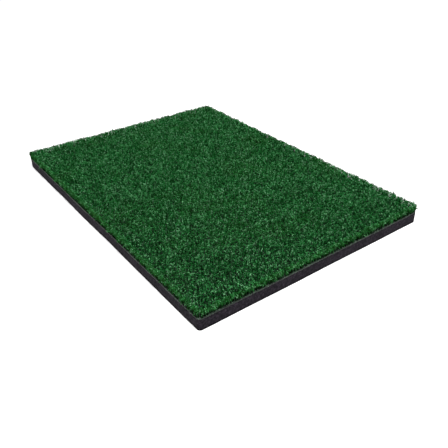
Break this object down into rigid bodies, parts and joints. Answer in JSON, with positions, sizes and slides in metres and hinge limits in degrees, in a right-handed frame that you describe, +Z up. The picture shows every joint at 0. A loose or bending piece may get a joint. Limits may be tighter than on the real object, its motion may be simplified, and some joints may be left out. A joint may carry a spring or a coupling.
{
  "type": "golf hitting mat",
  "caption": "Flat rectangular hitting mat: short curly green turf bonded to a thick black foam slab, cut square at the sides with rounded corners.",
  "frame": {"origin": "on the floor under the middle of the mat", "axes": "+X along the long side, +Y along the short side, +Z up out of the turf"},
  "size_m": [0.643, 0.465, 0.035],
  "materials": {
    "foam": "matte closed-cell foam with knife-cut sides",
    "adhesive": "satin dried contact adhesive",
    "backing_coat": "matte latex coat",
    "backing_cloth": "matte woven polypropylene cloth",
    "turf": "curly nylon yarn with a slight sheen"
  },
  "bodies": {
    "root": {"foam_base": "foam", "adhesive_film": "adhesive", "backing_coat": "backing_coat", "primary_backing": "backing_cloth", "turf_pile": "turf"}
  },
  "joints": []
}
